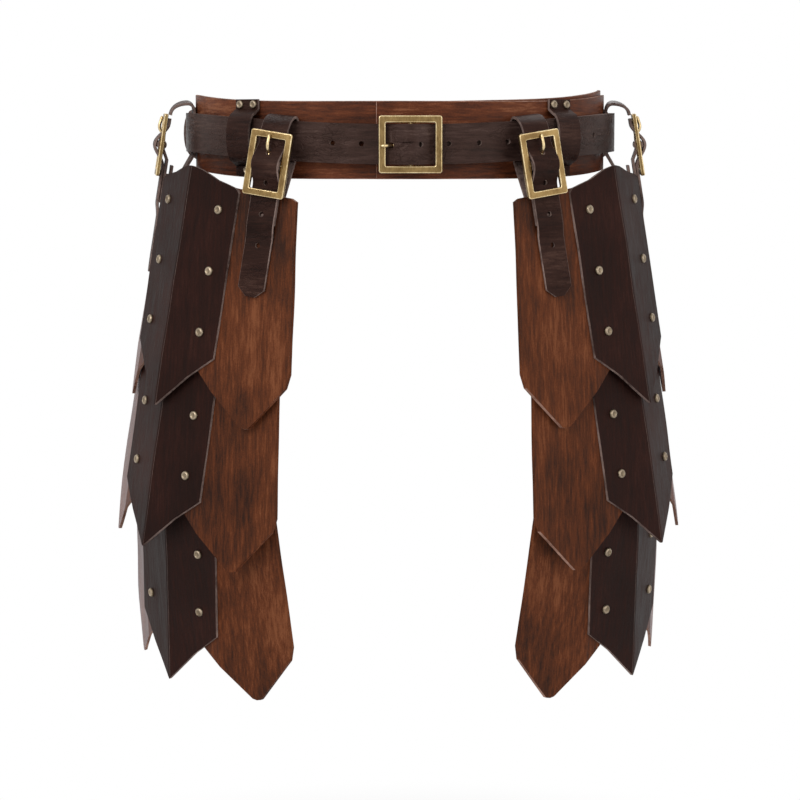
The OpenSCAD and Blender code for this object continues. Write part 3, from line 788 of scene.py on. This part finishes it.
def hole_cutter(holes, deep):
    """A rod for each hole."""
    cutter = bmesh.new()
    for middle, axis, along, radius, half in holes:
        side = axis.cross(along).normalized()
        rings = []
        for depth in (-deep, deep):
            ring = []
            for k in range(HOLE_SIDES):
                turn = math.tau * k / HOLE_SIDES
                reach = along * (math.cos(turn) * radius + (half if math.cos(turn) > 0 else -half))
                ring.append(cutter.verts.new(middle + axis * depth + reach + side * math.sin(turn) * radius))
            rings.append(ring)
        skin(cutter, rings)
        cutter.faces.new(rings[0])
        cutter.faces.new(rings[1])
    bmesh.ops.recalc_face_normals(cutter, faces=cutter.faces)
    return cutter


def subtract(mesh, cutter):
    """Takes one bmesh out of another. Two material slots keep the marks of faces and cut edges apart."""
    pieces = []
    for label, part in (("strap_blank", mesh), ("hole_cutter", cutter)):
        data = bpy.data.meshes.new(label)
        part.to_mesh(data)
        part.free()
        pieces.append(bpy.data.objects.new(label, data))
        bpy.context.scene.collection.objects.link(pieces[-1])
    for _ in range(2):
        pieces[0].data.materials.append(dark_edge)
    cut = pieces[0].modifiers.new("holes", "BOOLEAN")
    cut.object = pieces[1]
    cut.operation = "DIFFERENCE"
    cut.solver = "EXACT"
    punched = bmesh.new()
    punched.from_object(pieces[0], bpy.context.evaluated_depsgraph_get())
    for piece in pieces:
        bpy.data.objects.remove(piece)
    return punched


def lines_hole(face, middle, axis, along, radius, half):
    """Whether a face belongs to the wall of a hole."""
    away = face.calc_center_median() - middle
    depth = away.dot(axis)
    slide = max(-half, min(half, away.dot(along)))
    beside = away - (axis * depth + along * slide)
    return beside.length < radius and abs(face.normal.dot(axis)) < STEEP and abs(depth) < WALL_DEPTH


def punch(mesh, holes, deep=8 * MM):
    """Cuts holes and rounds their rims."""
    punched = subtract(mesh, hole_cutter(holes, deep))
    walls = {face for face in punched.faces if any(lines_hole(face, *hole) for hole in holes)}
    for face in walls:
        face.material_index = CUT
    rims = [edge for edge in punched.edges if sum(face in walls for face in edge.link_faces) == 1]
    bevel(punched, rims, RIM, ROUND_STEPS, CUT)
    return punched


print("hole punch ready")

# %% Where each buckle stands
BUCKLES = ("belt_buckle", "left_front", "left_side", "right_front", "right_side")


def extent(points, direction):
    reach = [point.dot(direction) for point in points]
    return min(reach), max(reach)


def buckle_frame(stem):
    """Middle of the centre bar, the direction of the prong and the direction out, all read off the frame."""
    bars = clean_copy(stem + ("_frame" if stem == "belt_buckle" else "_buckle"))
    points = [vert.co.copy() for vert in bars.verts]
    out = max(bars.faces, key=lambda face: face.calc_area()).normal.copy()
    bars.free()
    out = toward(out, points[0] * FLAT)
    rough = sum(points, Vector()) / len(points)
    prong = [vert.co for vert in frame["nodes"][stem + "_prong"].data.vertices]
    tip = max(prong, key=lambda point: (point - rough).length)
    along = (tip - rough) - out * (tip - rough).dot(out)
    along.normalize()
    across = out.cross(along).normalized()
    middle = Vector()
    for direction in (along, across, out):
        low, high = extent(points, direction)
        middle += direction * (low + high) / 2
    return middle, along, out


print("buckles:", BUCKLES)

# %% The loop over the belt
LOOP_RISE = 8 * MM
LOOP_STEPS = 9
BACK_STATIONS = 4
CREST_OUT = 0.8
RISE_PULL = 0.55
CREST_PULL = 0.44
FALL_PULL = 0.9
END_PULL = 0.6


def smooth_loop(loop, back_end, front_end):
    """One arch: up behind the belt, over its edge and down to the back of the buckle's top bar."""
    low, across_low, out = end_frame(back_end)
    end, across_end, out_end = end_frame(front_end, across_low)
    up = toward(out.cross(across_low).normalized(), UP)
    up_end = toward(out_end.cross(across_end).normalized(), UP)
    height = max((vert.co - low).dot(up) for vert in loop.verts) - STRAP_T / 2
    turn = low + up * (height - LOOP_RISE)
    crest = low + up * height + out * LOOP_RISE * CREST_OUT
    path = [(low.lerp(turn, i / BACK_STATIONS), across_low) for i in range(BACK_STATIONS)]
    for i in range(LOOP_STEPS):
        pull_a = turn + up * LOOP_RISE * RISE_PULL
        pull_b = crest - out * LOOP_RISE * CREST_PULL
        path.append((bezier(turn, pull_a, pull_b, crest, i / LOOP_STEPS), across_low))
    drop = (crest - end).dot(up_end)
    for i in range(2 * LOOP_STEPS + 1):
        share = i / (2 * LOOP_STEPS)
        place = bezier(crest, crest + out * LOOP_RISE * FALL_PULL, end + up_end * drop * END_PULL, end, share)
        path.append((place, across_low.lerp(across_end, ease(share)).normalized()))
    places = [place for place, _ in path]
    stations = []
    for i, (place, across) in enumerate(path):
        ahead = ahead_at(places, i)
        before = out if i <= BACK_STATIONS else stations[-1][2]
        face_out = toward(ahead.cross(across).normalized(), before)
        stations.append((place, toward(face_out.cross(ahead).normalized(), across), face_out))
    return ribbon(stations)


print("loop helper ready")

# %% The front run
RUN_STEPS = 60
HOLE_COUNT = 3
HOLE_STEP = 29.9 * MM
FIRST_HOLE = -17.9 * MM
BOW_HALF = 21.5 * MM
PRONG_HOLE = 12 * MM
PRONG_HOLE_R = HOLE_R - 0.3 * MM
PRONG_HOLE_HALF = 1.2 * MM
PRONG_HOLE_HEIGHT = 0.4
TIP_CUT = 8 * MM
TIP_MIDWAY = 0.4
TIP_W = 10 * MM
LAY_FROM = 56 * MM
LAY_OVER = 16 * MM
LAY_DOWN = 2.7 * MM


def front_run(stem, part):
    """The run under the top bar, over the centre bar, under the bottom bar and down to the clipped tip."""
    start, across, out = end_frame(max(end_faces(part, STRAP_W, STRAP_T), key=height_of))
    down = toward(across.cross(out).normalized(), -UP)
    points = {vert for face in part for vert in face.verts}
    length = max((vert.co - start).dot(down) for vert in points)
    height = max((vert.co - start).dot(out) for vert in points) - STRAP_T / 2
    middle = buckle_frame(stem)[0]
    bar = (middle - start).dot(down)
    corners = {length - TIP_CUT, length - TIP_MIDWAY * TIP_CUT}
    places = []
    widths = []
    for far in sorted({length * i / RUN_STEPS for i in range(RUN_STEPS + 1)} | corners):
        bowed = 0
        if abs(far - bar) < BOW_HALF:
            bowed = height * (1 + math.cos(math.pi * (far - bar) / BOW_HALF)) / 2
        bowed -= LAY_DOWN * ease(max(0, min(1, (far - bar - LAY_FROM) / LAY_OVER)))
        widths.append(STRAP_W - (STRAP_W - TIP_W) * max(0, (far - length + TIP_CUT) / TIP_CUT))
        places.append(start + down * far + out * bowed)
    stations = []
    for i, place in enumerate(places):
        face_out = toward(across.cross(ahead_at(places, i)).normalized(), out)
        stations.append((place, across, face_out))
    mesh = ribbon(stations, widths)
    flat = start + across * (middle - start).dot(across)
    holes = []
    for i in range(HOLE_COUNT):
        holes.append((flat + down * (bar - FIRST_HOLE + i * HOLE_STEP), out, down, HOLE_R, 0))
    spot = flat + down * (bar - PRONG_HOLE) + out * height * PRONG_HOLE_HEIGHT
    holes.append((spot, out, down, PRONG_HOLE_R, PRONG_HOLE_HALF))
    return punch(mesh, holes), start, down


print("front run helper ready")

# %% The back run and the whole strap
STRAP_TURNS = (60, 120)
STRAP_NET = 5 * MM
BACK_STEPS = 5


def back_run(part, corners, across):
    """The run behind the belt, bridged from the loop's back end to the frame's own lower end of the strap."""
    mesh = bmesh.new()
    known = {}
    for face in part:
        for vert in face.verts:
            if vert.index not in known:
                known[vert.index] = mesh.verts.new(vert.co)
        mesh.faces.new([known[vert.index] for vert in face.verts])
    top = max(end_faces(mesh.faces, STRAP_W, STRAP_T), key=height_of)
    start = sum(corners, Vector()) / 4
    end = top.calc_center_median()
    mouth = mesh.faces.new([mesh.verts.new(corner) for corner in corners])
    bridge_ends(mesh, mouth, top, BACK_STEPS)
    mark_cut_edges(mesh)
    round_edges(mesh, STRAP_TURNS, STRAP_ROUND)
    cut_net(mesh, ((0, 0, 1), across), STRAP_NET)
    return mesh, start, end


def hanging_strap(side, place):
    """Builds the front run, the back run and the loop of one hanging strap."""
    stem = side + "_" + place
    across = Vector((1, 0, 0)) if place == "front" else Vector((0, 1, 0))
    loop = clean_copy(stem + "_loop")
    ends = end_faces(loop.faces, STRAP_W, STRAP_T)
    ends.sort(key=lambda face: (face.calc_center_median() * FLAT).length)
    back_corners = [vert.co.copy() for vert in ends[0].verts]
    arch = smooth_loop(loop, ends[0], ends[-1])
    loop.free()
    run = clean_copy(stem + "_tail")
    run.verts.index_update()
    parts = sorted(loose_parts(run), key=len)
    mesh, start, down = front_run(stem, parts[-1])
    piece = finish_strap(mesh, stem + "_front_run", None, (stem + "_tail",))
    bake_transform(piece)
    mesh, start, end = back_run(parts[0], back_corners, across)
    piece = finish_strap(mesh, stem + "_back_run", None, (stem + "_tail",))
    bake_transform(piece)
    run.free()
    finish_strap(arch, stem + "_loop_leather", "waist", (stem + "_loop",))


for side in ("left", "right"):
    for place in ("front", "side"):
        hanging_strap(side, place)
print("hanging straps: 4, each as a loop and two runs")

# %% Inner link straps
LINK_W = 16 * MM
LINK_T = 2.5 * MM
LINK_NET = 3 * MM


def mean_place(faces):
    return sum((face.calc_center_median() for face in faces), Vector()) / len(faces)


def link_straps(side, upper, lower):
    """Joins the two halves of both link straps between two tiers across their gap."""
    nodes = (side + "_" + upper + "_hangers", side + "_" + lower + "_links")
    mesh = clean_copy(*nodes)
    parts = sorted(loose_parts(mesh), key=lambda part: -mean_place(part).z)
    hanger_ends = []
    for part in parts[:2]:
        hanger_ends.append(min(end_faces(part, LINK_W, LINK_T), key=height_of))
    link_ends = []
    for part in parts[2:]:
        link_ends.append(max(end_faces(part, LINK_W, LINK_T), key=height_of))
    start = mean_place(hanger_ends)
    end = mean_place(link_ends)
    for hanger_end in hanger_ends:
        place = hanger_end.calc_center_median()
        link_end = min(link_ends, key=lambda face: (face.calc_center_median() - place).length)
        link_ends.remove(link_end)
        bridge_ends(mesh, hanger_end, link_end, 1)
    mark_cut_edges(mesh)
    cut_net(mesh, ((0, 0, 1),), LINK_NET)
    piece = finish_strap(mesh, side + "_" + lower + "_link_straps", None, nodes)
    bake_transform(piece)


for side in ("left", "right"):
    link_straps(side, "upper", "middle")
    link_straps(side, "middle", "lower")
print("link straps: 4 pairs, each joined across its gap")

# %% Chapes and belt loop tabs
for name in sorted(frame["nodes"]):
    if name.endswith(("_chape", "_tabs")):
        mesh = clean_copy(name)
        mark_cut_edges(mesh)
        round_edges(mesh, STRAP_TURNS, STRAP_ROUND)
        finish_strap(mesh, name + "_leather", body_of_node[name], (name,))
print("chapes and tabs dressed")

# %% [markdown]
# ## Holes in the belt
#
# The frame's belt has a slot, which leaves its prong room to lift. Here the leather has one nearly round
# hole in that place, and a row of holes on each side of the buckle. So the slot and the frame's own holes in
# the front are closed, and a walk along the belt's outer face sets round holes at an even pitch on each side.

# %% Belt holes
PRONG_PLACE = 18.2 * MM
HALF_BELT = 19 * MM
FRONT_REACH = 130 * MM
WALL_REACH = 2.75 * MM
LOWEST_HOLE = 4 * MM
BAR_SPAN = (-6 * MM, 0)
TOP_ABOVE = 9 * MM
OVAL_SQUARES = (0.04, 0.02)
UNDER_LAYER = 3.9 * MM
UNDER_HALF = 0.6 * MM
HALF_LEATHER = 1.5 * MM
PUNCH_DEPTH = 2.6 * MM
WALK_STEP = math.radians(0.2)
WALK_START = 0.5 * MM
OUTSIDE = 0.4
ROWS = ((1, 4, 29.3 * MM), (-1, 2, 28.3 * MM))


def hole_walls(mesh, middle_height):
    """Groups of the small faces that line each hole in the front of the belt, near its middle line."""
    left = set()
    for face in mesh.faces:
        spot = face.calc_center_median()
        if spot.y < 0 and abs(spot.x) < FRONT_REACH:
            level = middle_height(spot)
            if all(abs(vert.co.z - level) < WALL_REACH for vert in face.verts):
                left.add(face)
    groups = []
    while left:
        group = [left.pop()]
        for face in group:
            near = {other for edge in face.edges for other in edge.link_faces} & left
            left -= near
            group += near
        groups.append(group)
    return groups


def close_holes(mesh, middle_height, bar, along):
    """Takes the walls of the frame's slot and holes away and fills what is left open."""
    closed = 0
    for group in hole_walls(mesh, middle_height):
        corners = {vert for face in group for vert in face.verts}
        heights = extent([vert.co for vert in corners], UP)
        place = (sum((vert.co for vert in corners), Vector()) / len(corners) - bar).dot(along)
        if heights[1] - heights[0] < LOWEST_HOLE or BAR_SPAN[0] < place < BAR_SPAN[1]:
            continue
        bmesh.ops.delete(mesh, geom=group, context="FACES")
        rest = [vert for vert in corners if vert.is_valid]
        open_edges = {edge for vert in rest for edge in vert.link_edges if edge.is_boundary}
        while open_edges:
            loop = [open_edges.pop()]
            for edge in loop:
                near = {other for vert in edge.verts for other in vert.link_edges} & open_edges
                open_edges -= near
                loop += near
            ends = sum((edge.verts[0].co for edge in loop), Vector()) / len(loop)
            axis = Vector((ends.x / OVAL_SQUARES[0], ends.y / OVAL_SQUARES[1], 0)).normalized()
            bmesh.ops.triangle_fill(mesh, use_beauty=True, use_dissolve=False, edges=loop, normal=axis)
        closed += 1
    bmesh.ops.recalc_face_normals(mesh, faces=mesh.faces)
    print("belt holes closed:", closed, "open edges left:", sum(edge.is_boundary for edge in mesh.edges))


def belt_holes(mesh):
    """Closes the frame's slot and front holes, and lists the round holes to punch instead."""
    bar, along, out = buckle_frame("belt_buckle")
    tops = [vert.co.copy() for vert in mesh.verts if vert.co.z > TOP_ABOVE]

    def middle_height(spot):
        return min(tops, key=lambda top: (top.x - spot.x) ** 2 + (top.y - spot.y) ** 2).z - HALF_BELT

    close_holes(mesh, middle_height, bar, along)
    tree = BVHTree.FromBMesh(mesh)
    first = bar + along * PRONG_PLACE
    holes = [(first - out * UNDER_LAYER, out, along, HOLE_R, UNDER_HALF)]
    for way, count, pitch in ROWS:
        angle = math.atan2(first.x, -first.y)
        last = first
        walked = 0
        found = 0
        while found < count:
            angle += way * WALK_STEP
            outward = Vector((math.sin(angle), -math.cos(angle), 0))
            level = Vector((0, 0, middle_height(last)))
            spot, normal = tree.ray_cast(outward * OUTSIDE + level, -outward)[:2]
            walked += (spot - last).length if walked else WALK_START
            last = spot
            if walked > (found + 1) * pitch:
                found += 1
                holes.append((spot - normal * HALF_LEATHER, normal, normal.cross(UP), HOLE_R, 0))
    return holes


print("belt hole helpers ready")

# %% Band and belt
for name, materials, slot in (("waist_band", (band_leather, brown_edge), "brown_leather"),
                              ("waist_belt", (belt_leather, dark_edge), "dark_leather")):
    mesh = clean_copy(name)
    mark_cut_edges(mesh)
    if name == "waist_belt":
        mesh = punch(mesh, belt_holes(mesh), PUNCH_DEPTH)
    round_edges(mesh, STRAP_TURNS, EDGE_ROUND)
    finish_piece(mesh, name + "_leather", "waist", (name,), materials)
print("band and belt dressed")

# %% [markdown]
# ## Buckles
#
# The buckles are cast and filed, so the rims of their flat front and back are soft, and worn bright.

# %% Buckles
BAR_ROUND = 0.9 * MM
BAR_STEPS = 3
RIM_WITHIN = 0.1 * MM


def face_rims(mesh):
    """Edges of the flat front and back of a buckle frame."""
    flat = max(mesh.faces, key=lambda face: face.calc_area()).normal.copy()
    level = [vert.co.dot(flat) for vert in mesh.verts]
    rims = []
    for edge in mesh.edges:
        steep = [abs(face.normal.dot(flat)) < STEEP for face in edge.link_faces]
        place = (edge.verts[0].co + edge.verts[1].co).dot(flat) / 2
        outermost = min(abs(place - min(level)), abs(place - max(level))) < RIM_WITHIN
        if len(steep) == 2 and steep[0] != steep[1] and outermost:
            rims.append(edge)
    return rims


for name in sorted(frame["nodes"]):
    if "buckle" in name and not name.endswith("_prong"):
        mesh = clean_copy(name)
        bevel(mesh, face_rims(mesh), BAR_ROUND, BAR_STEPS, CUT, clamp=False)
        finish_piece(mesh, name + "_metal", body_of_node[name], (name,), (buckle_brass, bright_brass),
                     smooth_below=50)
print("buckle frames dressed")

# %% [markdown]
# ## Prongs
#
# A prong is one rod. An eye holds it to the centre bar, and from there it runs to its hole and on to the
# frame's bar. Its line is given in millimetres, along the buckle and outward.

# %% Prongs
PRONG_R = 1.6 * MM
STRAP_EYE = (2.9 * MM, 0.65 * MM)
BELT_EYE = (2.2 * MM, 0.17 * MM)
STRAP_PRONG = [(2.6, 1.2), (5, 0.9), (8, -0.4), (10.4, -0.9), (12, 0.9), (14, 3.2), (17, 4.6), (20.5, 4.6),
               (24, 3.9), (26.5, 3.65), (28.2, 3.5)]
BELT_PRONG = [(2.3, -0.5), (5, -2.4), (9, -3.8), (13, -5.4), (16, -6.5), (17.4, -5.6), (18.8, -3), (20.4, 0),
              (22.2, 2.6), (24.4, 3.75), (26.6, 3.65), (28.4, 3.5)]
ROD_SIDES = 12
EYE_STEPS = 20
TIP_STEPS = 5
TIP_END = 0.7


def smooth_line(points, steps=4):
    """Points along a soft curve through given points."""
    line = []
    for i in range(len(points) - 1):
        before = points[max(i - 1, 0)]
        after = points[min(i + 2, len(points) - 1)]
        pull_a = points[i] + (points[i + 1] - before) / 6
        pull_b = points[i + 1] - (after - points[i]) / 6
        line += [bezier(points[i], pull_a, pull_b, points[i + 1], k / steps) for k in range(steps)]
    return line + [points[-1]]


def tube(mesh, line, side, radii, closed=False):
    """A round rod along a line that stays square to one side direction."""
    rings = []
    for i, place in enumerate(line):
        ahead = line[(i + 1) % len(line)] - line[i - 1] if closed else ahead_at(line, i)
        up = ahead.cross(side).normalized()
        ring = []
        for k in range(ROD_SIDES):
            turn = math.tau * k / ROD_SIDES
            ring.append(mesh.verts.new(place + (side * math.cos(turn) + up * math.sin(turn)) * radii[i]))
        rings.append(ring)
    skin(mesh, rings, closed)
    if not closed:
        mesh.faces.new(rings[0])
        mesh.faces.new(rings[-1])


def make_prong(stem, profile, eye_radius, wire):
    """A rod with a rounded tip, and an eye round the centre bar."""
    middle, along, out = buckle_frame(stem)
    across = out.cross(along).normalized()
    mesh = bmesh.new()
    line = smooth_line([middle + along * far * MM + out * level * MM for far, level in profile])
    count = len(line)
    radii = [PRONG_R * math.sqrt(min(1, (count - i - TIP_END) / TIP_STEPS)) for i in range(count)]
    tube(mesh, line, across, radii)
    eye = []
    for k in range(EYE_STEPS):
        turn = math.tau * k / EYE_STEPS
        eye.append(middle + (along * math.cos(turn) + out * math.sin(turn)) * eye_radius)
    tube(mesh, eye, across, [wire] * EYE_STEPS, closed=True)
    bmesh.ops.recalc_face_normals(mesh, faces=mesh.faces)
    name = stem + "_prong"
    finish_piece(mesh, name + "_metal", body_of_node[name], (name,), (bright_brass,),
                 smooth_below=60)


make_prong("belt_buckle", BELT_PRONG, *BELT_EYE)
for stem in BUCKLES[1:]:
    make_prong(stem, STRAP_PRONG, *STRAP_EYE)
print("prongs:", len(BUCKLES))

# %% [markdown]
# ## Rivets
#
# A rivet's cap has a rolled rim round a slightly dished middle. The rim is painted a little paler as a
# highlight, and a face belongs to it by how far it lies from the cap's middle, as a share of the cap's whole
# width.

# %% Rivets
RIM_HIGHLIGHT_INSIDE = 0.26
RIM_HIGHLIGHT_OUTSIDE = 0.43


def dress_rivets(name):
    """Gives the rolled rims of a node's rivets a paler brass than the rest, as a painted highlight."""
    mesh = clean_copy(name)
    for part in loose_parts(mesh):
        under = max(part, key=lambda face: face.calc_area())
        foot = under.calc_center_median()
        axis = -under.normal
        offsets = [vert.co - foot for face in part for vert in face.verts]
        reach = max((offset - axis * offset.dot(axis)).length for offset in offsets)
        for face in part:
            away = face.calc_center_median() - foot
            height = away.dot(axis)
            share = (away - axis * height).length / (2 * reach)
            # Faces on the ring between these two shares get the paler brass, a painted highlight.
            face.material_index = CUT if height > 0 and RIM_HIGHLIGHT_INSIDE < share < RIM_HIGHLIGHT_OUTSIDE else 0
    finish_piece(mesh, name + "_metal", body_of_node[name], (name,), (rivet_brass, rivet_rim_highlight),
                 smooth_below=50)


for name in sorted(frame["nodes"]):
    if name.endswith("rivets"):
        dress_rivets(name)
print("rivets finished")
